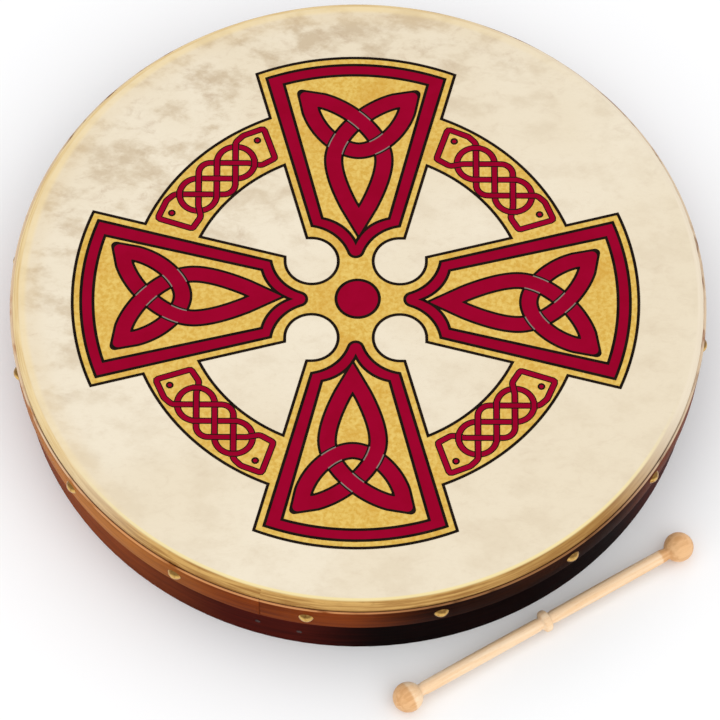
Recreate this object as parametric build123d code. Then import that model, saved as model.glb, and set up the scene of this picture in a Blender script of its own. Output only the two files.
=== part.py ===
"""A bodhran: an Irish frame drum with a nailed goatskin head, and its two-ended wooden tipper.

Millimetres, +Z up. The drum lies on its open back, and the origin is the centre of that back face.
Azimuths are in degrees, counter-clockwise from +X; -90 faces the front.
"""

from build123d import *
from math import cos, radians, sin
import os

os.makedirs("parts", exist_ok=True)

# The hoop: three bent plies glued face to face.
HOOP_R = 227.5
PLY_T = 3.0
PLIES = ("inner", "core", "outer")
HOOP_IN_R = HOOP_R - len(PLIES) * PLY_T
HOOP_H = 66.7
TOP_ROUND = 5.2
BACK_ROUND = 1.5
PLY_SEAM = 0.3
PLY_SEAM_AZIMUTHS = (97.0, 153.0, 118.0)

# The head: wet goatskin pulled over the hoop and dried tight.
SKIN_T = 0.9
SKIN_R = HOOP_R + SKIN_T
SKIN_TOP = HOOP_H + SKIN_T
SKIN_ROUND = 5.9
SKIRT_LOW = 41.5

# The trim: a thin strip of stained wood bent round the skin's skirt.
BAND_T = 1.9
BAND_R = SKIN_R + BAND_T
BAND_LOW = 39.5
BAND_TOP = 61.3
BAND_EASE = 0.5
BAND_SEAM = 0.3
BAND_SEAM_AZIMUTH = -104.8

# The tacks: domed brass heads, driven by hand at a sixteenth of a turn.
TACKS = 16
TACK_FIRST = -97.3
TACK_STRAY = (0, -1.1, -0.4, -3.4, 0, 0.8, 0.3, -0.6, 0.5, 0, -0.7, 0.4, 0.9, -0.3, 0, 0.3)
TACK_Z = 50.0
TACK_HEAD_R = 4.75
TACK_HEAD_H = 2.6
TACK_SHANK_R = 0.8
TACK_SHANK_L = 10.0
TACK_TIP = 2.2
TACK_POINT_R = 0.1

# The crossbars: two flat bars halved into each other, their ends hollowed to the hoop.
BAR_W = 38.0
BAR_T = 14.0
BAR_Z = 20.0
BAR_EASE = 3.0
BAR_AZIMUTHS = (-102.0, -12.0)
BAR_END_GAP = 0.05
LAP_GAP = 0.1

# The nails through the hoop into the ends of the crossbars.
NAIL_R = 0.9
NAIL_L = 32.0
NAIL_HEAD_R = 1.7
NAIL_HEAD_H = 0.9
NAIL_PROUD = 0.3
NAIL_SPREAD = 13.6
NAIL_LEVELS = (1.6, -1.4)

# The slotted screw that holds the halved joint together.
SCREW_R = 2.0
SCREW_L = 11.5
SCREW_HEAD_R = 4.0
SCREW_HEAD_H = 2.4
SCREW_SLOT = 1.0

# The tipper: one turned stick with a ball at each end and a bead at its middle.
BALL_R = 9.8
TIPPER_SPAN = 206.0
TIPPER_MID = (124.0, -211.0)
TIPPER_AZIMUTH = 31.5
SHAFT_R = 4.5
NECK_ROUND = 1.2
BEAD_R = 7.3
BEAD_W = 6.4
BEAD_ROUND = 2.9

CLEAR = 0.05


def turned(profile):
    """A closed outline in the XZ plane, turned once round Z."""
    return revolve(profile, Axis.Z)


def ring_section(r_in, r_out, z_low, z_high):
    """The upright rectangle that a ring with these radii and heights is turned from."""
    middle = ((r_in + r_out) / 2, (z_low + z_high) / 2)
    return Plane.XZ * Pos(*middle) * Rectangle(r_out - r_in, z_high - z_low)


def corner(section, r, z):
    """The corner of a section at radius r and height z."""
    return section.vertices().sort_by_distance((r, 0, z))[0]


def eased(section, r, z, radius):
    """The section with its corner at radius r and height z rounded."""
    return fillet(corner(section, r, z), radius)


def outward(azimuth, radius, z):
    """A place on a round wall, with its own Z pointing straight out of the wall."""
    a = radians(azimuth)
    way = (cos(a), sin(a), 0)
    return Location(Plane(origin=(radius * way[0], radius * way[1], z), x_dir=(0, 0, 1), z_dir=way))


def seam_cutter(azimuth, width):
    """A thin upright slab on one side of the hoop, which leaves the gap between two ends."""
    reach = 1.1 * BAND_R
    slab = Pos(reach / 2, 0, HOOP_H / 2) * Box(reach, width, 2 * HOOP_H)
    return Rot(0, 0, azimuth) * slab


def rod(radius, length):
    """A round rod that stands on z = 0."""
    return Cylinder(radius, length, align=(Align.CENTER, Align.CENTER, Align.MIN))


# Tacks

def tack_places():
    return [
        outward(TACK_FIRST + 360 / TACKS * k + stray, BAND_R, TACK_Z)
        for k, stray in enumerate(TACK_STRAY)
    ]


def tack():
    """A domed head that stands on z = 0 with a pointed shank below it."""
    ball_r = (TACK_HEAD_R**2 + TACK_HEAD_H**2) / (2 * TACK_HEAD_H)
    dome = Pos(0, 0, TACK_HEAD_H - ball_r) * Sphere(ball_r)
    dome &= rod(2 * TACK_HEAD_R, 2 * TACK_HEAD_H)
    shank = Pos(0, 0, -TACK_SHANK_L + TACK_TIP) * rod(TACK_SHANK_R, TACK_SHANK_L - TACK_TIP)
    tip = Pos(0, 0, -TACK_SHANK_L + TACK_TIP / 2) * Cone(TACK_POINT_R, TACK_SHANK_R, TACK_TIP)
    return dome + shank + tip


def tack_holes():
    hole = Pos(0, 0, -TACK_SHANK_L - CLEAR) * rod(TACK_SHANK_R + CLEAR, TACK_SHANK_L + 1)
    return [place * hole for place in tack_places()]


# Crossbar fixings

def nail_places():
    """Two nails at each end of each bar, one a little higher than the other."""
    places = []
    for bar in BAR_AZIMUTHS:
        for end in (0, 180):
            for side, level in zip((-1, 1), NAIL_LEVELS):
                middle = Rot(0, 0, bar + end) * Pos(HOOP_R, side * NAIL_SPREAD, BAR_Z + level)
                places.append(middle * Rot(0, 90, 0))
    return places


def nail_depth():
    """How far a nail off the bar's centre line starts inside the hoop's outer radius."""
    return HOOP_R - (HOOP_R**2 - NAIL_SPREAD**2) ** 0.5


def nail(r_extra=0.0, l_extra=0.0):
    """A flat-headed nail, its head's top near the hoop's outside at z = 0."""
    top = NAIL_PROUD - nail_depth() + l_extra
    head = Pos(0, 0, top - NAIL_HEAD_H - l_extra) * rod(NAIL_HEAD_R + r_extra, NAIL_HEAD_H + l_extra)
    shank = Pos(0, 0, top - NAIL_L - 2 * l_extra) * rod(NAIL_R + r_extra, NAIL_L + l_extra)
    return head + shank


def nail_holes():
    return [place * nail(CLEAR, 1.0) for place in nail_places()]


def centre_screw(extra=0.0):
    """A countersunk slotted screw, driven upwards from the back of the crossing."""
    low = BAR_Z - BAR_T / 2
    head = Pos(0, 0, low + SCREW_HEAD_H / 2) * Cone(SCREW_HEAD_R + extra, SCREW_R + extra, SCREW_HEAD_H)
    body = Pos(0, 0, low) * rod(SCREW_R + extra, SCREW_L + extra)
    return head + body


# Nodes

def hoop_ply(index):
    """One bent strip of the hoop, cut from the hoop's rounded section, its ends meeting at a seam."""
    hoop = ring_section(HOOP_IN_R, HOOP_R, 0, HOOP_H)
    hoop = eased(hoop, HOOP_IN_R, 0, BACK_ROUND)
    hoop = eased(hoop, HOOP_IN_R, HOOP_H, BACK_ROUND)
    hoop = eased(hoop, HOOP_R, 0, BACK_ROUND)
    hoop = eased(hoop, HOOP_R, HOOP_H, TOP_ROUND)
    r_in = HOOP_IN_R + index * PLY_T
    ply = turned(hoop & ring_section(r_in, r_in + PLY_T, 0, HOOP_H))
    ply -= seam_cutter(PLY_SEAM_AZIMUTHS[index], PLY_SEAM)
    return ply - tack_holes() - nail_holes()


def goatskin_head():
    """A shallow inverted cup: the playing face, the turn over the hoop and the nailed skirt."""
    outer = eased(ring_section(0, SKIN_R, SKIRT_LOW, SKIN_TOP), SKIN_R, SKIN_TOP, SKIN_ROUND)
    inner = ring_section(0, HOOP_R, SKIRT_LOW, HOOP_H)
    inner = eased(inner, HOOP_R, HOOP_H, SKIN_ROUND - SKIN_T)
    return turned(outer) - turned(inner) - tack_holes()


def trim_band():
    """The strip that hides the skin's cut edge, its two ends meeting at a seam."""
    section = ring_section(SKIN_R, BAND_R, BAND_LOW, BAND_TOP)
    section = eased(section, BAND_R, BAND_TOP, BAND_EASE)
    section = eased(section, BAND_R, BAND_LOW, BAND_EASE)
    return turned(section) - seam_cutter(BAND_SEAM_AZIMUTH, BAND_SEAM) - tack_holes()


def crossbar(index):
    """A flat bar with eased edges, halved at its middle and hollowed to the hoop at its ends."""
    bar = Box(2 * HOOP_R, BAR_W, BAR_T)
    bar = fillet(bar.edges().filter_by(Axis.X), BAR_EASE)
    side = 1 if index == 0 else -1
    lap_t = (BAR_T + LAP_GAP) / 2
    bar -= Pos(0, 0, side * (BAR_T - lap_t) / 2) * Box(BAR_W + LAP_GAP, BAR_W, lap_t)
    bar = Pos(0, 0, BAR_Z) * Rot(0, 0, BAR_AZIMUTHS[index]) * bar
    bar &= Pos(0, 0, BAR_Z) * Cylinder(HOOP_IN_R - BAR_END_GAP, BAR_T + 2)
    return bar - nail_holes() - centre_screw(CLEAR)


def tipper():
    """A shaft with a ball at each end and a bead at its middle, laid on the floor."""
    half = TIPPER_SPAN / 2
    stick = Cylinder(SHAFT_R, TIPPER_SPAN)
    for end in (-half, half):
        stick += Pos(0, 0, end) * Sphere(BALL_R)
    necks = [e for e in stick.edges().filter_by(GeomType.CIRCLE) if abs(e.radius - SHAFT_R) < 0.01]
    stick = fillet(necks, NECK_ROUND)
    bead = fillet(Cylinder(BEAD_R, BEAD_W).edges().filter_by(GeomType.CIRCLE), BEAD_ROUND)
    lying = Pos(*TIPPER_MID, BALL_R) * Rot(0, 0, TIPPER_AZIMUTH) * Rot(0, 90, 0)
    return lying * (stick + bead)


nodes = {f"hoop_{name}_ply": hoop_ply(i) for i, name in enumerate(PLIES)}
nodes["goatskin_head"] = goatskin_head()
nodes["trim_band"] = trim_band()
nodes["rim_tacks"] = Compound([place * tack() for place in tack_places()])
nodes["lower_crossbar"] = crossbar(0)
nodes["upper_crossbar"] = crossbar(1)
nodes["crossbar_nails"] = Compound([place * nail() for place in nail_places()])
slot = Pos(0, 0, BAR_Z - BAR_T / 2) * Box(2 * SCREW_HEAD_R + 1, SCREW_SLOT, SCREW_SLOT * 2)
nodes["crossbar_screw"] = centre_screw() - slot
nodes["tipper"] = tipper()

for name, shape in nodes.items():
    export_step(shape, f"parts/{name}.step")
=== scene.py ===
"""How a bodhran and its tipper look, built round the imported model.

Metres, +Z up, the drum lying on its open back with the skin upwards. The print on the skin is drawn in
millimetres, as it would be for its stencils, and scaled once when it is laid.
"""

from math import asin, cos, degrees, hypot, pi, radians, sin, sqrt, tan

import bpy
import numpy as np
from mathutils import Matrix, Vector
from mathutils.geometry import delaunay_2d_cdt


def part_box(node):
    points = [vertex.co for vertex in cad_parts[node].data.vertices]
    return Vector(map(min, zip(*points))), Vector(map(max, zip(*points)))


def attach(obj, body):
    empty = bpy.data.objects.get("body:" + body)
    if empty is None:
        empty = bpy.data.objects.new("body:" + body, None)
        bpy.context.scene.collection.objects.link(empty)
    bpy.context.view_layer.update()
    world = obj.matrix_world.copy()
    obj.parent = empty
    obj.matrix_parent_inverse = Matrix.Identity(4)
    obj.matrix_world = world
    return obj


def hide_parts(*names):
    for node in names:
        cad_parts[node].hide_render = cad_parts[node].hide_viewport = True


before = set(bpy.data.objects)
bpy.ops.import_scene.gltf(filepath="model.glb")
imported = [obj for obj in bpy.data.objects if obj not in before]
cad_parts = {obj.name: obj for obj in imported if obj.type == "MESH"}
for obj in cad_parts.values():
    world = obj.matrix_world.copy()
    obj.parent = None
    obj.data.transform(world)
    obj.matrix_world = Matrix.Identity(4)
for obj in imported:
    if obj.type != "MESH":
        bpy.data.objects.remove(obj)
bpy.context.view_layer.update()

MM = 0.001

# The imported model's sizes, in metres.
PLY = 3.0 * MM
SKIN_THICK = 0.9 * MM
SKIN_BEND = 5.9 * MM  # the radius of the skin's outside where it turns down over the hoop
SKIN_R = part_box("goatskin_head")[1].x
SKIN_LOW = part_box("goatskin_head")[0].z
SKIN_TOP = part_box("goatskin_head")[1].z
HOOP_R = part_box("hoop_outer_ply")[1].x
HOOP_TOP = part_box("hoop_outer_ply")[1].z
HOOP_IN_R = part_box("hoop_inner_ply")[1].x - PLY
BAND_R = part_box("trim_band")[1].x
BAND_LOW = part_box("trim_band")[0].z
BAND_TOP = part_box("trim_band")[1].z

# Its azimuths in degrees, counter-clockwise from +X, and how many tacks share the way round.
BAND_SEAM = -104.8
PLY_SEAM = 118.0
BAR_AZIMUTHS = {"lower_crossbar": -102.0, "upper_crossbar": -12.0}
TIPPER_AZIMUTH = 31.5
TACK_FIRST = -97.3
TACKS = 16


# ---------------------------------------------------------------------------------------------------------
# Shader maths

class Flow:
    """The output of a shader node. Python's arithmetic on it adds Math nodes."""

    def __init__(self, finish, socket):
        self.finish = finish
        self.socket = socket

    def math(self, operation, *others):
        """A Math node on this output and the others, which are outputs or numbers."""
        sockets = dict(enumerate((self, *others)))
        return self.finish.node("ShaderNodeMath", {"operation": operation}, sockets)

    def __add__(self, other):
        return self.math("ADD", other)

    def __sub__(self, other):
        return self.math("SUBTRACT", other)

    def __rsub__(self, other):
        return self * -1 + other

    def __mul__(self, other):
        return self.math("MULTIPLY", other)

    def __pow__(self, other):
        return self.math("POWER", other)

    __radd__ = __add__
    __rmul__ = __mul__

    def eased(self, start, end):
        """0 at start, 1 at end, with a soft slope between them; start may be the larger."""
        settings = {"interpolation_type": "SMOOTHSTEP"}
        sockets = {"Value": self, "From Min": start, "From Max": end}
        return self.finish.node("ShaderNodeMapRange", settings, sockets)


class Finish:
    """A material while it is made. Values that are the same all over go straight to the shader."""

    def __init__(self, name, **constants):
        self.material = bpy.data.materials.new(name)
        self.material.use_nodes = True
        self.tree = self.material.node_tree
        self.shader = self.tree.nodes["Principled BSDF"]
        self.feed(self.shader, {key.replace("_", " "): value for key, value in constants.items()})
        self.place = self.node("ShaderNodeTexCoord", output="Object")

    def feed(self, node, sockets):
        """Links or sets each of the node's sockets, which are given by name or by number."""
        for key, value in sockets.items():
            if isinstance(value, Flow):
                self.tree.links.new(value.socket, node.inputs[key])
            else:
                node.inputs[key].default_value = value

    def node(self, kind, settings=None, sockets=None, output=0):
        """Adds a node: first its settings, then the values or links of its sockets."""
        made = self.tree.nodes.new(kind)
        for key, value in (settings or {}).items():
            setattr(made, key, value)
        self.feed(made, sockets or {})
        return Flow(self, made.outputs[output])

    def noise(self, where, size, detail=3.0, roughness=0.5, distortion=0.0):
        """Cloudy values round 0.5 whose features are about size metres across."""
        sockets = {"Vector": where, "Scale": 1 / size, "Detail": detail, "Roughness": roughness,
                   "Distortion": distortion}
        return self.node("ShaderNodeTexNoise", {}, sockets)

    def mix(self, share, first, second):
        """From the first colour to the second as share goes from 0 to 1."""
        sockets = {0: share, 6: first, 7: second}
        return self.node("ShaderNodeMix", {"data_type": "RGBA"}, sockets, output=2)

    def moved(self, where, turn=0.0, stretch=(1, 1, 1)):
        """The place stretched, then turned about Z by turn degrees: a Mapping node."""
        sockets = {"Vector": where, "Rotation": (0, 0, radians(turn)), "Scale": stretch}
        return self.node("ShaderNodeMapping", {}, sockets)

    def parts(self, where):
        """A place's x, y and z."""
        return [self.node("ShaderNodeSeparateXYZ", {}, {0: where}, output=i) for i in range(3)]

    def joined(self, x, y, z):
        """The place at x, y and z."""
        return self.node("ShaderNodeCombineXYZ", {}, {0: x, 1: y, 2: z})

    def round_hoop(self, seam, radius):
        """The place unrolled: the way round the hoop from the seam, the radius, and the height."""
        x, y, z = self.parts(self.moved(self.place, turn=180 - seam))
        around = y.math("ARCTAN2", x) * radius
        return around, (x * x + y * y) ** 0.5, z

    def finished(self, colour, roughness, height=None, bump=0.3):
        """Feeds the shader and hands the material over. Height is in metres."""
        self.feed(self.shader, {"Base Color": colour, "Roughness": roughness})
        if height is not None:
            sockets = {"Height": height, "Distance": 1.0, "Strength": bump}
            self.feed(self.shader, {"Normal": self.node("ShaderNodeBump", {}, sockets)})
        return self.material


def dye(red, green, blue):
    """A colour as the eye grades it, 0 to 255, turned to the linear light that shaders use."""
    graded = np.array((red, green, blue)) / 255
    linear = np.where(graded <= 0.04045, graded / 12.92, ((graded + 0.055) / 1.055) ** 2.4)
    return (*linear.tolist(), 1.0)


# ---------------------------------------------------------------------------------------------------------
# Finishes

def goatskin():
    """Cream skin with fine grey-brown clouds, thickest at the back left. Over the hoop it has a waxy ring
    at the back left. At the front a painted highlight runs where it starts to turn down, and the side below
    is streaked ochre, partly its own colour and partly painted shade, darker towards the right."""
    skin = Finish("goatskin", Specular_IOR_Level=0.12)
    x, y, z = skin.parts(skin.place)
    around, radius, _ = skin.round_hoop(BAND_SEAM, SKIN_R)
    broad = skin.noise(skin.place, 0.13, detail=2.0, distortion=0.4)
    cloud_way = skin.moved(skin.place, turn=35, stretch=(1, 1.5, 1))
    cloud = skin.noise(cloud_way, 0.03, detail=6.0, roughness=0.62)
    wisp_way = skin.moved(skin.place, turn=-25, stretch=(1, 1.8, 1))
    wisp = skin.noise(wisp_way, 0.016, detail=7.0, roughness=0.7, distortion=0.6)
    fine = skin.noise(skin.place, 0.005, detail=5.0, roughness=0.7)
    hair = skin.noise(skin.moved(skin.place, turn=-20, stretch=(1, 5, 1)), 0.003, detail=3.0)
    cream = skin.mix(broad.eased(0.35, 0.68), dye(233, 221, 198), dye(228, 214, 188))
    back_left = (y * 0.7 - x * 0.7).eased(0.0, 0.17)
    near_back = y.eased(0.1, 0.2) * 0.25
    amount = back_left * 0.75 + near_back + 0.26
    face = skin.mix(cloud.eased(0.44, 0.66) * amount * 0.9, cream, dye(203, 184, 155))
    face = skin.mix(wisp.eased(0.5, 0.76) * (amount * 0.42 + 0.06), face, dye(182, 156, 128))
    face = skin.mix(fine.eased(0.5, 0.8) * 0.16, face, dye(198, 178, 148))
    face = skin.mix(hair.eased(0.56, 0.75) * 0.12, face, dye(200, 180, 150))
    front = (y * -1 + x * 0.1).eased(0.095, 0.185)
    back = (y * 0.5 - x * 0.87).eased(-0.08, 0.12) * (1 - front)
    over_hoop = radius.eased(HOOP_IN_R - 1 * MM, HOOP_IN_R + 3 * MM) * back
    inner_shade = radius.eased(HOOP_IN_R - 14 * MM, HOOP_IN_R - 1 * MM) * back * (1 - over_hoop)
    face = skin.mix(inner_shade * (cloud.eased(0.35, 0.65) * 0.15 + 0.15), face, dye(214, 186, 138))
    face = skin.mix(over_hoop * (broad.eased(0.3, 0.7) * 0.4 + 0.4), face, dye(233, 209, 158))
    # Painted highlight: a bright line at the front where the face starts to turn down.
    painted_highlight_line = radius.eased(SKIN_R - SKIN_BEND - 1 * MM, SKIN_R - SKIN_BEND + 0.2 * MM) * front
    face = skin.mix(painted_highlight_line * 0.8, face, dye(238, 218, 152))
    streak = skin.noise(skin.joined(around * 0.05, radius, z), 0.0016, detail=4.0, roughness=0.6)
    # The colour down the front of the side is partly the skin's own and partly painted shade.
    ochre = skin.mix(streak.eased(0.32, 0.68), dye(158, 112, 56), dye(206, 164, 96))
    ochre = skin.mix(fine.eased(0.55, 0.8) * 0.35, ochre, dye(122, 84, 44))
    # Painted shade: darker towards the right of the front.
    ochre = skin.mix(x.eased(0.02, 0.16) * 0.6, ochre, dye(142, 100, 46))
    waxy = skin.mix(streak.eased(0.32, 0.68), dye(214, 182, 126), dye(232, 208, 158))
    pulled = skin.mix(front, skin.mix(back * 0.8 + 0.2, dye(232, 221, 202), waxy), ochre)
    outside = radius.eased(HOOP_R - 8 * MM, HOOP_R - 4 * MM)
    side = z.eased(SKIN_TOP - 0.04 * MM, SKIN_TOP - 0.4 * MM) * outside
    inner = skin.mix(cloud.eased(0.4, 0.7), dye(206, 184, 146), dye(178, 150, 108))
    within = radius.eased(HOOP_R - 5 * MM, HOOP_R - 5.4 * MM)
    beneath = z.eased(SKIN_TOP - 0.5 * MM, SKIN_TOP - 0.8 * MM) * within
    colour = skin.mix(beneath, skin.mix(side, face, pulled), inner)
    height = fine * 0.0001 + hair * 0.00005 + cloud * 0.0002 + streak * side * 0.0002
    return skin.finished(colour, fine * 0.2 + 0.42, height, bump=0.4)


def bent_wood(name, seam, radius, tones, shine, edge_at, shade, shade_from):
    """Stained wood bent into a ring: long grain round the hoop, open pores, and edges worn to the wood.
    Tones are the dark and light grain, the pores, the worn edge, the painted shade and the painted light.
    Edge_at is the height of the worn edge. Painted shade, nearly black, lies about the azimuth shade:
    shade_from holds the angles from there at which it begins and at which it is full. Painted light lies
    on the left."""
    dark, light, pore, worn, painted_shade_tone, painted_light_tone = (dye(*tone) for tone in tones)
    wood = Finish(name, Specular_IOR_Level=shine)
    around, out, z = wood.round_hoop(seam, radius)
    x, y, _ = wood.parts(wood.place)
    grain = wood.noise(wood.joined(around * 0.05, out, z), 0.0032, detail=5.0, roughness=0.6, distortion=0.3)
    pores = wood.noise(wood.joined(around * 0.03, out, z), 0.0007, detail=2.0)
    tone = wood.noise(wood.joined(around * 0.25, out, z * 0.6), 0.03, detail=3.0)
    # Painted shade: the side about the azimuth shade is darkened to nearly black, standing in for shadow.
    towards = x * (cos(radians(shade)) / radius) + y * (sin(radians(shade)) / radius)
    painted_shade_side = towards.eased(cos(radians(shade_from[0])), cos(radians(shade_from[1])))
    # Painted light: the left side is lightened, standing in for light falling on it from the left.
    left_x, left_y = -0.94, -0.34
    painted_light_side = (x * (left_x / radius) + y * (left_y / radius)).eased(0.62, 0.95)
    share = grain.eased(0.32, 0.68) * 0.6 + tone.eased(0.35, 0.65) * 0.4
    colour = wood.mix(share, dark, light)
    colour = wood.mix(painted_light_side * (share * 0.5 + 0.4), colour, painted_light_tone)
    colour = wood.mix(painted_shade_side * (share * -0.1 + 1), colour, painted_shade_tone)
    colour = wood.mix(pores.eased(0.6, 0.72) * 0.5, colour, pore)
    rub = wood.noise(wood.joined(around * 0.3, out, z), 0.006, detail=4.0)
    # Painted shadow: a dark line along the top of the inner face, in the gap under the skin, at the front.
    behind = out.eased(radius - 0.9 * MM, radius - 1.4 * MM)
    painted_gap_shadow = z.eased(edge_at - 0.4 * MM, edge_at - 0.2 * MM) * behind
    worn = wood.mix(y.eased(-0.18, -0.1), worn, dye(226, 206, 178))
    edge = z.eased(edge_at - 0.7 * MM, edge_at - 0.2 * MM) * rub.eased(0.28, 0.5)
    # The worn edge is painted fainter where the painted shade lies.
    colour = wood.mix(edge * (painted_shade_side * -0.45 + 0.85), colour, worn)
    colour = wood.mix(painted_gap_shadow * y.eased(-0.06, -0.12) * 0.8, colour, pore)
    height = grain * 0.00012 - pores.eased(0.6, 0.72) * 0.00006
    return wood.finished(colour, grain * 0.18 + 0.26, height, bump=0.3)


def brass():
    """Domed tack heads, darkened towards their tops with painted shade and dark reflection."""
    metal = Finish("brass", Metallic=1.0)
    low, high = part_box("rim_tacks")
    _, _, z = metal.parts(metal.place)
    tarnish = metal.noise(metal.place, 0.0018, detail=4.0)
    scratch = metal.noise(metal.moved(metal.place, turn=30, stretch=(1, 9, 1)), 0.0006)
    colour = metal.mix(tarnish.eased(0.45, 0.8), dye(226, 184, 104), dye(168, 120, 54))
    # Painted shade and dark reflection: the top of each dome is darkened.
    painted_dark_top = (z + tarnish * 0.001).eased((low.z + high.z) / 2 + 1.9 * MM, high.z - 0.9 * MM)
    colour = metal.mix(painted_dark_top * 0.75, colour, dye(84, 50, 20))
    return metal.finished(colour, tarnish * 0.22 + 0.12, scratch * 0.00003, bump=0.4)


def steel():
    """Nails and screw, dulled by handling. The nails' heads were stained over with the hoop."""
    metal = Finish("steel", Specular_IOR_Level=0.02)
    x, y, _ = metal.parts(metal.place)
    dull = metal.noise(metal.place, 0.002, detail=4.0)
    stained = ((x * x + y * y) ** 0.5).eased(HOOP_R - 6 * MM, HOOP_R - 4 * MM)
    bare = metal.mix(dull.eased(0.4, 0.75), dye(172, 170, 166), dye(112, 104, 96))
    colour = metal.mix(stained * (dull.eased(0.7, 0.3) * 0.2 + 0.8), bare, dye(46, 13, 10))
    metal.feed(metal.shader, {"Metallic": 1 - stained})
    return metal.finished(colour, dull * 0.3 + 0.25, dull * 0.00004)


def straight_wood(name, azimuth, tones, shine, fineness=1.0, ends=None):
    """Sawn or turned wood with its grain along the azimuth. Tones are the dark and light grain and the
    pores; ends, where it is given, is a place along the azimuth, a reach from it and the two grain tones
    of the wood beyond that reach."""
    dark, light, pore = (dye(*tone) for tone in tones)
    wood = Finish(name, Specular_IOR_Level=shine)
    x, y, z = wood.parts(wood.moved(wood.place, turn=-azimuth))
    rings = wood.noise(wood.joined(x * 0.04, y, z), 0.0045 * fineness, detail=5.0, distortion=0.5)
    pores = wood.noise(wood.joined(x * 0.06, y, z), 0.0006 * fineness, detail=2.0)
    flecks = wood.noise(wood.joined(x * 0.35, y, z), 0.0011 * fineness, detail=1.0)
    colour = wood.mix(rings.eased(0.33, 0.67), dark, light)
    if ends:
        middle, reach, end_dark, end_light = ends
        beyond = (x - middle).math("ABSOLUTE").eased(reach - 1.5 * MM, reach + 0.5 * MM)
        colour = wood.mix(beyond, colour, wood.mix(rings.eased(0.33, 0.67), dye(*end_dark), dye(*end_light)))
    colour = wood.mix(pores.eased(0.58, 0.72) * 0.35 + flecks.eased(0.62, 0.74) * 0.2, colour, pore)
    height = rings * 0.0001 - pores.eased(0.58, 0.72) * 0.00006
    return wood.finished(colour, rings * 0.2 + 0.34, height, bump=0.35)


def ink(name, dark, light, grain, fleck=0.0, fleck_colour=(0, 0, 0, 1)):
    """Screen ink on skin: two tones in soft patches, with the skin's fine tooth showing through."""
    film = Finish(name, Specular_IOR_Level=0.015)
    patch = film.noise(film.place, grain, detail=4.0, roughness=0.6, distortion=0.3)
    tooth = film.noise(film.place, 0.0012, detail=3.0, roughness=0.7)
    colour = film.mix(patch.eased(0.32, 0.68) * 0.8 + tooth.eased(0.3, 0.75) * 0.2, dark, light)
    broad = film.noise(film.place, 12 * grain, detail=3.0)
    colour = film.mix((tooth.eased(0.55, 0.75) + broad.eased(0.5, 0.72) * 1.4) * fleck, colour, fleck_colour)
    return film.finished(colour, tooth * 0.2 + 0.42, tooth * 0.00004, bump=0.4)


def floor_finish():
    """Plain white sweep with barely any tone."""
    paper = Finish("floor_paper", Specular_IOR_Level=0.0)
    tone = paper.noise(paper.place, 0.5, detail=1.0)
    return paper.finished(paper.mix(tone, dye(249, 249, 249), dye(251, 251, 251)), 0.9)


# ---------------------------------------------------------------------------------------------------------
# Surfaces

def new_piece(name, points, faces, material, smooth=True):
    """A mesh object at the origin from points in metres and groups of faces."""
    mesh = bpy.data.meshes.new(name)
    mesh.from_pydata(np.asarray(points).tolist(), [], [face for group in faces for face in group.tolist()])
    mesh.polygons.foreach_set("use_smooth", np.full(len(mesh.polygons), smooth))
    mesh.materials.append(material)
    piece = bpy.data.objects.new(name, mesh)
    bpy.context.scene.collection.objects.link(piece)
    return piece


def grid_faces(rows, columns, round_rows=False, round_columns=False):
    """The quads of a grid whose points are stored row by row; a round way joins its end to its start."""
    r, c = np.meshgrid(
        np.arange(rows if round_rows else rows - 1),
        np.arange(columns if round_columns else columns - 1),
        indexing="ij",
    )
    r_next = (r + 1) % rows * columns
    c_next = (c + 1) % columns
    corners = (r * columns + c, r * columns + c_next, r_next + c_next, r_next + c)
    return np.stack(corners, -1).reshape(-1, 4)


def turned_faces(rows, columns):
    """The quads of a grid that is round in its columns, and a fan of triangles that closes each end at a
    pole. The poles' points come after the grid's."""
    here = np.arange(columns)
    after = (here + 1) % columns
    last = (rows - 1) * columns
    pole = np.full(columns, rows * columns)
    start_fan = np.stack([after, here, pole], -1)
    end_fan = np.stack([last + here, last + after, pole + 1], -1)
    return [grid_faces(rows, columns, round_columns=True), start_fan, end_fan]


def even(*stops):
    """Values through the stops, given as value, steps to the next, value, and so on."""
    runs = zip(stops[:-2:2], stops[2::2], stops[1:-1:2])
    runs = [np.linspace(a, b, n, endpoint=False) for a, b, n in runs]
    return np.append(np.concatenate(runs), stops[-1])


def skin_rise(x, y):
    """How far the tight skin stands off its plane: two long, low waves, at most a tenth of a millimetre."""
    return 0.05 * MM * (np.sin(31 * x + 17 * y + 0.7) + np.sin(-14 * x + 37 * y + 2.1))


def pucker(azimuth, z):
    """Small folds in the pulled edge, gathered near the tacks and hidden where the trim holds them flat."""
    near_tack = np.cos((azimuth - radians(TACK_FIRST)) * TACKS)
    folds = np.sin(azimuth * 61 + 1.3) + 0.7 * np.sin(azimuth * 97 + 0.4) + 0.5 * np.sin(azimuth * 143 + 2.0)
    free = np.clip((z - BAND_TOP) / (2 * MM), 0, 1) * np.clip((SKIN_TOP + 0.5 * MM - z) / (2 * MM), 0, 1)
    return 0.09 * MM * folds * (0.75 + 0.25 * near_tack) * free


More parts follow.
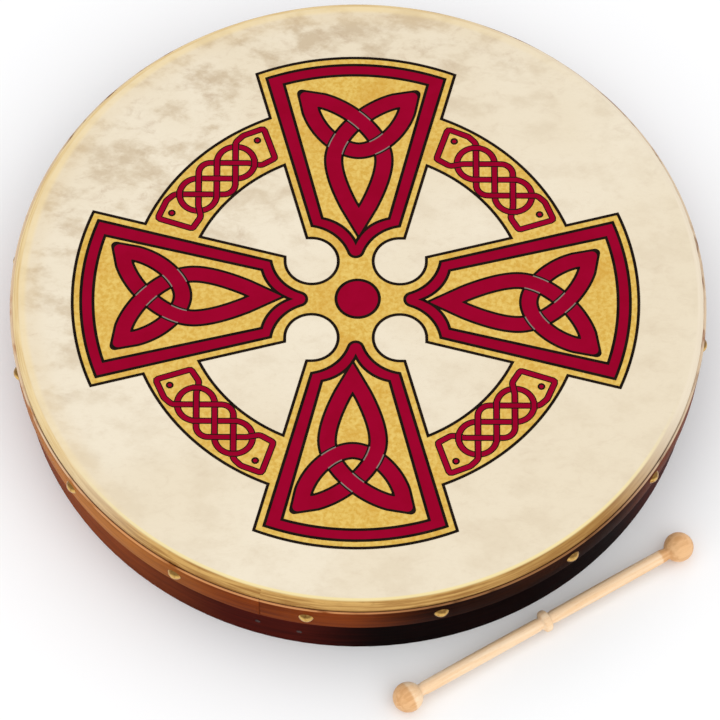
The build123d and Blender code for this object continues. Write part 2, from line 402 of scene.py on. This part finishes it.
def stretched_skin(material):
    """A turned shell: the outline from the middle of the face over the hoop and down the side, then back
    inside, carried round the axis, with skin_rise added to the height and pucker to the radius."""
    turn = np.radians(np.arange(0, 90.1, 9))
    middle_r = 2 * MM
    face_r = even(middle_r, 48, 200 * MM, 16, SKIN_R - SKIN_BEND)[:-1]
    low = SKIN_LOW + 0.25 * MM
    side_z = even(SKIN_TOP - SKIN_BEND, 5, low)[1:]
    inner_bend = SKIN_BEND - SKIN_THICK
    back_r = even(SKIN_R - SKIN_BEND, 24, middle_r)[1:]
    outline = np.concatenate([
        np.column_stack([face_r, np.full_like(face_r, SKIN_TOP)]),
        np.column_stack([
            SKIN_R - SKIN_BEND + SKIN_BEND * np.sin(turn),
            SKIN_TOP - SKIN_BEND + SKIN_BEND * np.cos(turn),
        ]),
        np.column_stack([np.full_like(side_z, SKIN_R), side_z]),
        [[SKIN_R - 0.3 * MM, SKIN_LOW], [HOOP_R + 0.3 * MM, SKIN_LOW], [HOOP_R, low]],
        np.column_stack([
            HOOP_R - inner_bend + inner_bend * np.cos(turn),
            HOOP_TOP - inner_bend + inner_bend * np.sin(turn),
        ]),
        np.column_stack([back_r, np.full_like(back_r, HOOP_TOP)]),
    ])
    azimuths = np.linspace(0, 2 * pi, 600, endpoint=False)
    a, r = np.meshgrid(azimuths, outline[:, 0])
    z = np.meshgrid(azimuths, outline[:, 1])[1]
    r = r + pucker(a, z) * (r > HOOP_R + 0.2 * MM)
    x, y = r * np.cos(a), r * np.sin(a)
    z = z + skin_rise(x, y) * np.clip((0.22 - r) / 0.02, 0, 1) * (z > HOOP_TOP - 0.1 * MM)
    points = np.stack([x, y, z], -1).reshape(-1, 3)
    rise = skin_rise(0, 0)
    poles = [[0, 0, SKIN_TOP + rise], [0, 0, HOOP_TOP + rise]]
    faces = [group[:, ::-1] for group in turned_faces(*r.shape)]
    return new_piece("stretched_goatskin", np.concatenate([points, poles]), faces, material)


def trim_strip(material):
    """A rounded oblong section carried round the hoop from one side of the seam to the other. The way round
    adds a slow waver to the height of both edges, and one end springs a little proud of the other."""
    outer = 0.55 * MM
    inner = outer / 3
    corners = [
        (BAND_R - outer, BAND_TOP - outer, outer, 0),
        (SKIN_R + inner, BAND_TOP - inner, inner, 90),
        (SKIN_R + inner, BAND_LOW + inner, inner, 180),
        (BAND_R - outer, BAND_LOW + outer, outer, 270),
    ]
    section = []
    for r, z, radius, start in corners:
        bend = np.radians(np.linspace(start, start + 90, 6))
        section.append(np.column_stack([r + radius * np.cos(bend), z + radius * np.sin(bend)]))
    section = np.concatenate(section)
    seam_gap = 0.1 * MM
    half_gap = degrees(seam_gap / 2 / BAND_R)
    steps = 1080
    azimuths = np.radians(np.linspace(BAND_SEAM + half_gap, BAND_SEAM + 360 - half_gap, steps))
    a = np.repeat(azimuths[:, None], len(section), 1)
    waver = 0.16 * MM * (np.sin(5 * a + 0.4) + 0.6 * np.sin(11 * a + 1.9))
    spring = 0.12 * MM * np.exp(-(a[-1, 0] - a) * BAND_R / (9 * MM))
    outward = np.clip((section[:, 0] - SKIN_R) / (BAND_R - SKIN_R), 0, 1)
    r = section[:, 0] + spring * (0.3 + 0.7 * outward)
    z = section[:, 1] + waver
    points = np.stack([r * np.cos(a), r * np.sin(a), z], -1).reshape(-1, 3)
    size = len(section)
    ends = [np.arange(size)[None, :], (np.arange(size)[::-1] + (steps - 1) * size)[None, :]]
    faces = [grid_faces(steps, size, round_columns=True)[:, ::-1], *ends]
    return new_piece("trim_strip", points, faces, material)


def turned_tipper(material):
    """An outline of radius against length, turned round the stick's axis and laid on the floor. The outline
    is the largest of two balls, a bead at the middle, and a shaft that swells a little half way from the
    bead to each ball, with a hollow beside each of them and fine rings all along."""
    low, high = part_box("tipper")
    ball = (high.z - low.z) / 2
    start = np.array([low.x + ball, low.y + ball])
    end = np.array([high.x - ball, high.y - ball])
    span = hypot(*(end - start))
    lean = np.linspace(0, pi, 64)[:52]  # from a ball's end to within the shaft
    ball_end = -ball * np.cos(lean)
    between = np.linspace(ball_end[-1], span - ball_end[-1], 260)[1:-1]
    s = np.concatenate([ball_end, between, span - ball_end[::-1]])
    shaft = 4.3 * MM + 0.25 * MM * np.sin(pi * np.abs(2 * s / span - 1))
    reach = np.minimum(np.abs(s), np.abs(span - s))
    balls = np.sqrt(np.clip(ball**2 - reach**2, 0, None))
    from_bead = np.abs(s - span / 2)
    bead_r, half_bead = 7.3 * MM, 3.4 * MM
    bead = bead_r * np.clip(1 - (from_bead / half_bead) ** 3.2, 0, 1) ** 0.36
    neck = 0.45 * MM * np.exp(-((reach - ball - 0.6 * MM) / (1.3 * MM)) ** 2)
    collar = 0.35 * MM * np.exp(-((from_bead - 4.6 * MM) / (1.0 * MM)) ** 2)
    stick = np.maximum(shaft - neck - collar, bead) * ((s > 0) & (s < span))
    radius = np.maximum(balls, stick)
    radius = radius + 0.018 * MM * np.sin(s / (0.55 * MM)) * (radius > 1 * MM)
    turn = np.linspace(0, 2 * pi, 72, endpoint=False)
    along = (end - start) / span
    side = np.array([-along[1], along[0]])
    radius, s = radius[1:-1, None], s[1:-1, None]
    x = start[0] + along[0] * s + side[0] * radius * np.cos(turn)
    y = start[1] + along[1] * s + side[1] * radius * np.cos(turn)
    z = ball + radius * np.sin(turn)
    points = np.stack([x, y, z], -1).reshape(-1, 3)
    poles = [[*(start - along * ball), ball], [*(end + along * ball), ball]]
    return new_piece("turned_tipper", np.concatenate([points, poles]), turned_faces(*x.shape), material)


# ---------------------------------------------------------------------------------------------------------
# The print: flat shapes in millimetres, drawn for the arm that points to the back and turned for the rest

# Where the print lies on the skin: its shift, its turn in degrees, its spread across and towards the back,
# and how much more it spreads for each millimetre towards the back.
PRINT_SHIFT = (-1.67, -8.83)
PRINT_TURN = 0.91
PRINT_SPREAD = (0.9892, 0.9784)
KEYSTONE = 0.000155

# An arm's sides lean from its middle line by LEAN degrees and pass the print's centre at SIDE. Its end is an
# arc of radius END_R that reaches ARM_REACH from the centre.
LEAN = 15.0
SIDE = 19.25
ARM_REACH = 188.6
END_R = 176.0

# The ring between the arms, and the notch's circle in each opening, as far across as it is along.
RING_OUT = 152.0
RING_IN = 114.5
NOTCH_AT = 29.4
NOTCH_R = 17.8

# A line within an arm: its insets at the end and at the side, the side's lean, then its foot's hollow: the
# centre, the radius and the round at the tip.
BAND_LINE = (5.6, 5.6, LEAN, (33.9, 26.1), 30.8, 5.0)
FIELD_LINE = (13.8, 12.6, 13.95, (28.7, 32.2), 31.0, 0.0)
DISC_AT = (1.3, 0.4)
DISC_R = 14.5
HALF_LINE = 1.0

# A knot's strand, half its width alone and with its black edges, and the round of its two outer corners. Its
# crossings are, in turn, down over up, up over across, and across over down. Beside a crossing a grey line
# and a black one run from one distance off the middle of the strand to the next.
KNOT_SHIFT = (2.0, 0.0)
KNOT_CROSSINGS = ((0.0, 139.7), (-13.3, 121.0), (13.3, 121.0))
STRAND = 4.85
STRAND_EDGE = 6.6
EAR_ROUND = 3.4
GREY_IN, GREY_OUT, CUT_OUT = 4.8, 5.6, 6.6

# A plait's lanes, across and along, its cord, half as wide as it is alone and with its dark edges, and the
# dots in its corners.
LANES = (68.0, 80.8, 93.2, 105.4, 118.0)
CORD = 1.55
CORD_EDGE = 2.35
DOT = (66.2, 123.1)
DOT_R = 2.7
DOT_CORE_R = 1.5

# How far the films are sunk in the skin.
FILM_SUNK = 0.03


def arc(centre, radius, start, end, step=1.8):
    """Points on a circle from the start angle to the end angle, in degrees, about a step apart."""
    count = max(3, round(abs(radians(end - start)) * radius / step) + 1)
    angle = np.radians(np.linspace(start, end, count))
    return np.column_stack([centre[0] + radius * np.cos(angle), centre[1] + radius * np.sin(angle)])


def curve(a, b, c, d, count=28):
    """A cubic curve from a to d that leaves towards b and arrives from c."""
    t = np.linspace(0, 1, count)[:, None]
    a, b, c, d = (np.array(p, float) for p in (a, b, c, d))
    return a * (1 - t) ** 3 + b * 3 * t * (1 - t) ** 2 + c * 3 * t * t * (1 - t) + d * t**3


def as_laid(points):
    """The drawing as it sits on the skin: spread a little more towards the back, turned and shifted."""
    return turned(points * PRINT_SPREAD * (1 + KEYSTONE * points[:, 1:]), PRINT_TURN) + PRINT_SHIFT


def mirrored(points):
    """The points on the other side of the arm's middle line, in the other order."""
    return points[::-1] * (-1, 1)


def turned(points, degrees_round):
    """The points turned counter-clockwise round the print's centre."""
    a = radians(degrees_round)
    return points @ np.array([[cos(a), sin(a)], [-sin(a), cos(a)]])


def side_angle(radius, inset=0.0, rise=0.0, lean=LEAN):
    """How far from the arm's middle line its side is, in degrees, at this radius round a point on that
    line, rise beyond the print's centre."""
    return lean + degrees(asin((SIDE - inset + rise * sin(radians(lean))) / radius))


def end_arc(inset=0.0, side_inset=0.0, lean=LEAN):
    """The arm's end, from its left side to its right."""
    rise = ARM_REACH - END_R
    half = side_angle(END_R - inset, side_inset, rise, lean)
    return arc((0, rise), END_R - inset, 90 + half, 90 - half)


def foot(side_inset, lean, centre, radius, tip_round):
    """The foot of a line within an arm, down its right side's end to the tip: a corner, an arc that
    hollows inwards to the arm's middle line, and a round there, or a cusp where tip_round is 0."""
    beside = (SIDE - side_inset) - centre[0] * cos(radians(lean)) + centre[1] * sin(radians(lean))
    corner = 90 - lean - degrees(asin(beside / radius))
    tip_y = centre[1] + sqrt((radius + tip_round) ** 2 - centre[0] ** 2)
    meet = degrees(asin((tip_y - centre[1]) / (radius + tip_round)))
    hollow = arc(centre, radius, corner, 180 - meet)
    if tip_round == 0:
        return hollow
    return np.concatenate([hollow, arc((0, tip_y), tip_round, -meet, -90, step=1.0)[1:]])


def arm_line(end_inset, side_inset, lean, *hollow):
    """The end arc, a straight side, the foot, and the same back up the other side."""
    inner = foot(side_inset, lean, *hollow)
    return np.concatenate([end_arc(end_inset, side_inset, lean), inner, mirrored(inner)[1:]])


def print_contour():
    """Round the whole print: for each quarter an arm's end arc, then the ring's outer arc."""
    ring = arc((0, 0), RING_OUT, 90 - side_angle(RING_OUT), side_angle(RING_OUT))
    quarter = np.concatenate([end_arc(), ring])
    return np.concatenate([turned(quarter, -90 * k) for k in range(4)])


def window():
    """A bare opening between two arms: the ring's inner arc, two arm sides, and a short flat on each side
    of the notch's circle, which makes a pointed corner with the arm's side."""
    ring = arc((0, 0), RING_IN, 90 - side_angle(RING_IN), side_angle(RING_IN))
    flat = NOTCH_AT + NOTCH_R
    corner = SIDE / cos(radians(LEAN)) + flat * tan(radians(LEAN))
    notch = arc((NOTCH_AT, NOTCH_AT), NOTCH_R, 360, 90)
    return np.concatenate([ring, [(flat, corner)], notch, [(corner, flat)]])


def knot_strands():
    """The three strands of an arm's three-cornered knot: down to the tip, back up, and across the bottom."""
    down = np.concatenate([
        curve((-34.3, 156.0), (-12, 155.4), (16.9, 130), (16.9, 108)),
        curve((16.9, 108), (16.9, 92), (5, 68), (0, 59.8))[1:],
    ])
    right = curve((34.3, 156.0), (32, 132), (13, 115.3), (0, 115.3))
    across = np.concatenate([right, mirrored(right)[1:]])
    return [strand + KNOT_SHIFT for strand in (down, mirrored(down), across)]


def corner_arc(corner, way_in, way_out, radius, count=None):
    """Points on the arc that rounds a corner between the way into it and the way out of it. Where count
    isn't given they are about 1.2 mm apart."""
    bend = np.arccos(np.clip(way_in @ way_out, -1, 1))
    inward = way_out - way_in * (way_in @ way_out)
    inward /= hypot(*inward)
    phi = np.linspace(0, bend, count or max(3, round(bend * radius / 1.2) + 1))[:, None]
    begin = corner - way_in * radius * tan(bend / 2)
    return begin + radius * (np.sin(phi) * way_in + (1 - np.cos(phi)) * inward)


def ways(path):
    """The unit step that leaves each point of a closed path."""
    step = np.roll(path, -1, 0) - path
    return step / np.linalg.norm(step, axis=1, keepdims=True)


def rounded_loop(corners, radii):
    """A closed run through the corners, each rounded by an arc of its radius."""
    corners = np.array(corners, float)
    way = ways(corners)
    runs = zip(corners, np.roll(way, 1, 0), way, radii)
    return np.concatenate([corner_arc(*run) for run in runs])


def blunted(loop, radii):
    """A closed loop with an arc of seven points and of its own radius in place of each sharp corner."""
    way = ways(loop)
    before = np.roll(way, 1, 0)
    runs, start = [], 0
    for at, radius in zip(np.flatnonzero((way * before).sum(1) < 0.8), radii):
        runs += [loop[start:at], corner_arc(loop[at], before[at], way[at], radius, 7)]
        start = at + 1
    return np.concatenate([*runs, loop[start:]])


def plait_loops():
    """The two closed cords of a ring panel, which is alike on both sides of the diagonal."""
    l0, l1, l2, l3, l4 = LANES
    half = [(62, 132.5), (75.8, 126.8), (l1, 121.6), (l1, l1)]
    inner_half = [(109.2, 54.2), (103.6, 63.4), (l3, 72), (l3, l3)]
    swapped = [[p[::-1] for p in run[-2::-1]] for run in (half, inner_half)]
    outer = half + swapped[0] + inner_half + swapped[1]
    radii = [1.8, 5, 5, 8, 5, 5, 1.8, 1.8, 5, 10, 8, 10, 5, 1.8]
    inner = [(l2, l4), (l0, l4), (l0, l2), (l4, l2), (l4, l0), (l2, l0)]
    return [rounded_loop(outer, radii), rounded_loop(inner, [12.3] * 6)]


def plait_crossings():
    """Short straight pieces of the cord that lies on top at each crossing, upright ones over where the
    lanes' numbers add up to an even one. The last piece leans with its cord, on the inmost lane."""
    crossings = [(2, 2), (1, 2), (2, 1), (1, 3), (3, 1), (2, 3), (3, 2), (1, 4), (4, 1), (3, 0)]
    reach = CORD_EDGE + 0.7
    pieces = []
    for i, j in crossings:
        way = np.array((0, reach) if (i + j) % 2 == 0 else (reach, 0))
        middle = np.array((LANES[i], LANES[j]))
        pieces.append(np.array([middle - way, middle, middle + way]))
    middle = np.array((LANES[0], LANES[3] - 0.84))
    way = np.array((0.98, 0.2)) * reach
    return pieces + [np.array([middle - way, middle, middle + way])]


def offset(path, distance, closed):
    """The path moved to its left by the distance, its corners mitred."""
    step = np.roll(path, -1, 0) - path
    if not closed:
        step[-1] = step[-2]
    step = step / np.linalg.norm(step, axis=1, keepdims=True)
    normal = np.column_stack([-step[:, 1], step[:, 0]])
    before = np.roll(normal, 1, 0)
    if not closed:
        before[0] = normal[0]
    mitre = (normal + before) / (1 + (normal * before).sum(1, keepdims=True))
    return path + mitre * distance


def clear_corners(path, half):
    """A closed path without the points so near a sharp corner that a strip this far out on each side of
    the path would fold there."""
    way = ways(path)
    turn_cos = (way * np.roll(way, 1, 0)).sum(1)
    sharp = turn_cos < 0.8
    reach = 1.15 * half * np.sqrt((1 - turn_cos[sharp]) / (1 + turn_cos[sharp]))
    away = np.linalg.norm(path[:, None] - path[sharp][None], axis=2) - reach
    return path[sharp | (away.min(1) > 0)]


def without_doubles(path):
    """A closed path with each point that repeats the one before it left out."""
    return path[np.linalg.norm(path - np.roll(path, 1, 0), axis=1) > 0.02]


def strip(path, left, right, closed=True):
    """A flat strip along the path, from left to right of it: its points and triangles."""
    if closed:
        path = without_doubles(path)
    return ribbon(offset(path, left, closed), offset(path, right, closed), closed)


def ribbon(left, right, closed=True):
    """The flat strip between two borders with as many points as each other."""
    points = np.stack([left, right], 1).reshape(-1, 2)
    quads = grid_faces(len(left), 2, round_rows=closed)
    return points, np.concatenate([quads[:, [0, 1, 2]], quads[:, [0, 2, 3]]])


def knot_ribbon(path, half):
    """The knot's closed strand, this far out on each side. Its corners come in turn: the tip, which stays
    sharp, and the two ears, whose outsides are rounded."""
    outer = blunted(offset(path, half, True), (0.3, EAR_ROUND, EAR_ROUND))
    return ribbon(outer, blunted(offset(path, -half, True), (0.3, 0.6, 0.6)))


def inside(points, loop):
    """Which points lie within a closed loop: a line to the right of each crosses it an odd number of
    times."""
    x, y = points[:, :1], points[:, 1:]
    (x0, y0), (x1, y1) = loop.T, np.roll(loop, -1, 0).T
    spans = (y0 > y) != (y1 > y)
    crossing_x = x0 + (y - y0) * (x1 - x0) / np.where(y1 == y0, 1.0, y1 - y0)
    return (spans & (x < crossing_x)).sum(1) % 2 == 1


def filled(outline, holes=(), spacing=9.0):
    """The area inside the outline and outside the holes, cut into even triangles."""
    loops = [without_doubles(loop) for loop in (outline, *holes)]
    starts = np.cumsum([0] + [len(loop) for loop in loops])
    edges = [np.column_stack([np.arange(len(loop)), np.roll(np.arange(len(loop)), -1)]) + start
             for loop, start in zip(loops, starts)]
    low, high = outline.min(0), outline.max(0)
    grid = np.stack(np.meshgrid(*(np.arange(a + spacing / 2, b, spacing) for a, b in zip(low, high))), -1)
    points = np.concatenate([*loops, grid.reshape(-1, 2)])
    made = delaunay_2d_cdt([Vector(p) for p in points.tolist()], np.concatenate(edges).tolist(), [], 0, 1e-4)
    corners, triangles = np.array([tuple(v) for v in made[0]]), np.array(made[2])
    middles = corners[triangles].mean(1)
    kept = inside(middles, loops[0])
    for hole in loops[1:]:
        kept &= ~inside(middles, hole)
    used, triangles = np.unique(triangles[kept], return_inverse=True)
    return corners[used], triangles.reshape(-1, 3)


def near(points, others, reach):
    """Which points are within reach of one of the others."""
    return np.linalg.norm(points[:, None] - others[None], axis=2).min(1) < reach


def stretch_at(path, place, reach):
    """The stretch of an open path within reach of a place."""
    return path[np.linalg.norm(path - place, axis=1) < reach]


def finer(path):
    """An open path with three more points in each of its steps."""
    t = np.linspace(0, len(path) - 1, 4 * len(path) - 3)
    return np.column_stack([np.interp(t, np.arange(len(path)), path[:, i]) for i in (0, 1)])


def crossing_marks(over, under):
    """Where one strand passes over another: the grey lines beside it, and the black lines that end the
    strand below."""
    grey, black = [], []
    for hand in (-1, 1):
        for inner, outer, marks in ((GREY_IN, GREY_OUT, grey), (GREY_OUT, CUT_OUT, black)):
            middle = offset(finer(over), hand * (inner + outer) / 2, False)
            kept = middle[near(middle, finer(under), STRAND + 0.9)]
            marks.append(strip(kept, (outer - inner) / 2, (inner - outer) / 2, closed=False))
    return grey, black


def ink_layer(name, shapes, lift, material, whole=True):
    """Flat shapes laid on the skin as one closed film, lift millimetres above it and sunk a little into it.
    Shapes for one arm or quarter are turned three more times when whole is set."""
    points, triangles, count = [], [], 0
    for shape, corners in shapes:
        a, b, c = (shape[corners[:, i]] for i in range(3))
        twice_area = (b[:, 0] - a[:, 0]) * (c[:, 1] - a[:, 1]) - (b[:, 1] - a[:, 1]) * (c[:, 0] - a[:, 0])
        corners = np.where(twice_area[:, None] < 0, corners[:, ::-1], corners)
        for quarter in range(4 if whole else 1):
            points.append(turned(shape, 90 * quarter))
            triangles.append(corners + count)
            count += len(shape)
    flat = as_laid(np.concatenate(points)) * MM
    triangles = np.concatenate(triangles)
    height = SKIN_TOP + skin_rise(flat[:, 0], flat[:, 1])
    top = np.column_stack([flat, height + lift * MM])
    bottom = np.column_stack([flat, height - FILM_SUNK * MM])
    edges = np.concatenate([triangles[:, [0, 1]], triangles[:, [1, 2]], triangles[:, [2, 0]]])
    border = edges[~np.isin(edges[:, 0] * count + edges[:, 1], edges[:, 1] * count + edges[:, 0])]
    a, b = border.T
    walls = np.concatenate([np.column_stack([a, a + count, b + count]), np.column_stack([a, b + count, b])])
    faces = [np.concatenate([triangles, triangles[:, ::-1] + count, walls])]
    piece = new_piece(name, np.concatenate([top, bottom]), faces, material, smooth=False)
    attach(piece, "drum")


def lay_print():
    """Every film of the print, from the gold ground up to the grey lines."""
    gold = ink("gold_print", dye(207, 163, 68), dye(228, 196, 108), 0.0028, 0.3, dye(202, 148, 54))
    crimson = ink("crimson_print", dye(144, 1, 37), dye(152, 2, 43), 0.02)
    dark = ink("dark_print", dye(20, 14, 11), dye(34, 24, 18), 0.01)
    pale = ink("pale_print", dye(120, 110, 102), dye(136, 128, 118), 0.01)

    windows = [turned(window(), 90 * k) for k in range(4)]
    band, field = arm_line(*BAND_LINE), arm_line(*FIELD_LINE)
    disc = arc(DISC_AT, DISC_R, 0, 352.8)
    ink_layer("print_gold_ground", [filled(print_contour(), windows)], 0.05, gold, whole=False)
    ink_layer("print_crimson_bands", [filled(band)], 0.08, crimson)
    ink_layer("print_crimson_disc", [filled(disc)], 0.08, crimson, whole=False)
    ink_layer("print_gold_fields", [filled(field)], 0.11, gold)
    outlines = [strip(loop, HALF_LINE, -HALF_LINE) for loop in (window(), band, field)]
    ink_layer("print_black_outlines", outlines, 0.14, dark)
    rims = [strip(loop, HALF_LINE, -HALF_LINE) for loop in (print_contour(), disc)]
    ink_layer("print_black_rim", rims, 0.14, dark, whole=False)

    down, up, across = knot_strands()
    knot = clear_corners(without_doubles(np.concatenate([down, up, across])), STRAND_EDGE)
    grey, cuts, tops = [], [], []
    for over, under, place in zip((down, up, across), (up, across, down), KNOT_CROSSINGS):
        at = np.add(place, KNOT_SHIFT)
        grey_marks, black_marks = crossing_marks(stretch_at(over, at, 14.0), stretch_at(under, at, 17.0))
        grey += grey_marks
        cuts += black_marks
        tops.append(strip(stretch_at(over, at, 12.0), STRAND, -STRAND, closed=False))
    ink_layer("print_knot_edges", [knot_ribbon(knot, STRAND_EDGE)], 0.17, dark)
    ink_layer("print_knot_strands", [knot_ribbon(knot, STRAND)], 0.20, crimson)
    ink_layer("print_knot_cuts", cuts, 0.23, dark)
    ink_layer("print_knot_tops", tops, 0.23, crimson)
    ink_layer("print_knot_lines", grey, 0.26, pale)

    loops = plait_loops()
    pieces = plait_crossings()
    dots = [arc(at, DOT_R, 0, 330) for at in (DOT, DOT[::-1])]
    dot_cores = [arc(at, DOT_CORE_R, 0, 330) for at in (DOT, DOT[::-1])]
    edges = [strip(loop, CORD_EDGE, -CORD_EDGE) for loop in loops]
    cords = [strip(loop, CORD, -CORD) for loop in loops]
    over_edges = [strip(piece, CORD_EDGE, -CORD_EDGE, closed=False) for piece in pieces]
    over_cords = [strip(piece, CORD, -CORD, closed=False) for piece in pieces]
    edges += [filled(dot) for dot in dots]
    cords += [filled(dot) for dot in dot_cores]
    ink_layer("print_plait_edges", edges, 0.08, dark)
    ink_layer("print_plait_cords", cords, 0.11, crimson)
    ink_layer("print_plait_cuts", over_edges, 0.14, dark)
    ink_layer("print_plait_tops", over_cords, 0.17, crimson)


# ---------------------------------------------------------------------------------------------------------
# Camera, floor and light

def camera():
    """Looks down over the drum's front from a short way off, with a long lens and a slight roll."""
    height, roll, distance = radians(62.232), radians(1.0204), 1.8934
    aim = Vector((1.85 * MM, -53.93 * MM, SKIN_TOP))
    back = Vector((0, -cos(height), sin(height)))
    right = Vector((1, 0, 0))
    up = back.cross(right)
    seen_right = right * cos(roll) + up * sin(roll)
    seen_up = up * cos(roll) - right * sin(roll)
    lens = bpy.data.cameras.new("camera")
    lens.lens = 145.33
    lens.sensor_width = 36
    lens.clip_start = 0.05
    eye = bpy.data.objects.new("camera", lens)
    bpy.context.scene.collection.objects.link(eye)
    turn = Matrix((seen_right, seen_up, back)).transposed().to_4x4()
    eye.matrix_world = Matrix.Translation(aim + back * distance) @ turn
    bpy.context.scene.camera = eye


def softbox(name, azimuth, height, distance, size, share):
    """A square light that faces the drum from an azimuth and a height in degrees. Share is the light that
    it gives a plain white floor, where 1 makes it fully white."""
    light = bpy.data.lights.new(name, "AREA")
    light.size = size
    light.energy = share * (pi * distance) ** 2 / sin(radians(height))
    lamp = bpy.data.objects.new(name, light)
    bpy.context.scene.collection.objects.link(lamp)
    a, h = radians(azimuth), radians(height)
    way = Vector((cos(a) * cos(h), sin(a) * cos(h), sin(h)))
    turn = way.to_track_quat("Z", "Y").to_matrix().to_4x4()
    lamp.matrix_world = Matrix.Translation(way * distance) @ turn


def studio():
    """An even white room, a soft light at the left and another at the front right, and a white floor."""
    world = bpy.data.worlds.new("studio")
    world.use_nodes = True
    background = world.node_tree.nodes["Background"]
    background.inputs["Color"].default_value = (0.985, 0.99, 1, 1)
    background.inputs["Strength"].default_value = 0.94
    bpy.context.scene.world = world
    bpy.context.scene.view_settings.view_transform = "Standard"
    softbox("key_left", 165, 66, 3.2, 2.6, 0.09)
    softbox("fill_front_right", -58, 48, 3.0, 2.4, 0.12)
    reach = 6.0
    points = [(-reach, -reach, 0), (reach, -reach, 0), (reach, reach, 0), (-reach, reach, 0)]
    floor = new_piece("floor", points, [np.array([[0, 1, 2, 3]])], floor_finish(), smooth=False)


# ---------------------------------------------------------------------------------------------------------
# Assembly

def dress(node, material):
    """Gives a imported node's mesh a finish in place of its plain one."""
    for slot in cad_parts[node].material_slots:
        slot.material = material


def stand_in(piece, node, body):
    """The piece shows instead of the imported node, with its body."""
    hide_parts(node)
    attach(piece, body)


camera()
studio()

skin = stretched_skin(goatskin())
stand_in(skin, "goatskin_head", "drum")

trim = trim_strip(bent_wood(
    "stained_trim", BAND_SEAM, BAND_R, shine=0.006, edge_at=BAND_TOP, shade=-61, shade_from=(31, 14),
    tones=[(82, 29, 8), (132, 60, 19), (40, 12, 5), (216, 154, 102), (15, 3, 2), (198, 128, 62)]))
stand_in(trim, "trim_band", "drum")

# The hoop's own top edge is under the skin, so its worn edge is put above it, where nothing shows it.
hoop_wood = bent_wood(
    "stained_hoop", PLY_SEAM, HOOP_R, shine=0.002, edge_at=HOOP_TOP + 3 * MM, shade=-64, shade_from=(36, 20),
    tones=[(48, 11, 8), (82, 24, 16), (18, 5, 4), (120, 70, 44), (6, 2, 2), (150, 76, 38)])
for ply in ("hoop_inner_ply", "hoop_core_ply", "hoop_outer_ply"):
    dress(ply, hoop_wood)

dress("rim_tacks", brass())
steel_finish = steel()
dress("crossbar_nails", steel_finish)
dress("crossbar_screw", steel_finish)
for node, azimuth in BAR_AZIMUTHS.items():
    bar_wood = straight_wood(
        "wood_of_" + node, azimuth, shine=0.2, tones=[(92, 52, 32), (138, 84, 52), (58, 32, 20)])
    dress(node, bar_wood)

tipper_low, tipper_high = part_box("tipper")
tipper_way = (tipper_high - tipper_low).xy.normalized()
tipper_middle = ((tipper_low + tipper_high) / 2).xy.dot(tipper_way)
tipper = turned_tipper(straight_wood(
    "pale_wood", TIPPER_AZIMUTH, shine=0.25, fineness=0.6,
    tones=[(244, 204, 158), (253, 224, 188), (218, 164, 112)],
    ends=(tipper_middle, 95.8 * MM, (216, 162, 106), (236, 188, 136))))
stand_in(tipper, "tipper", "tipper")

lay_print()
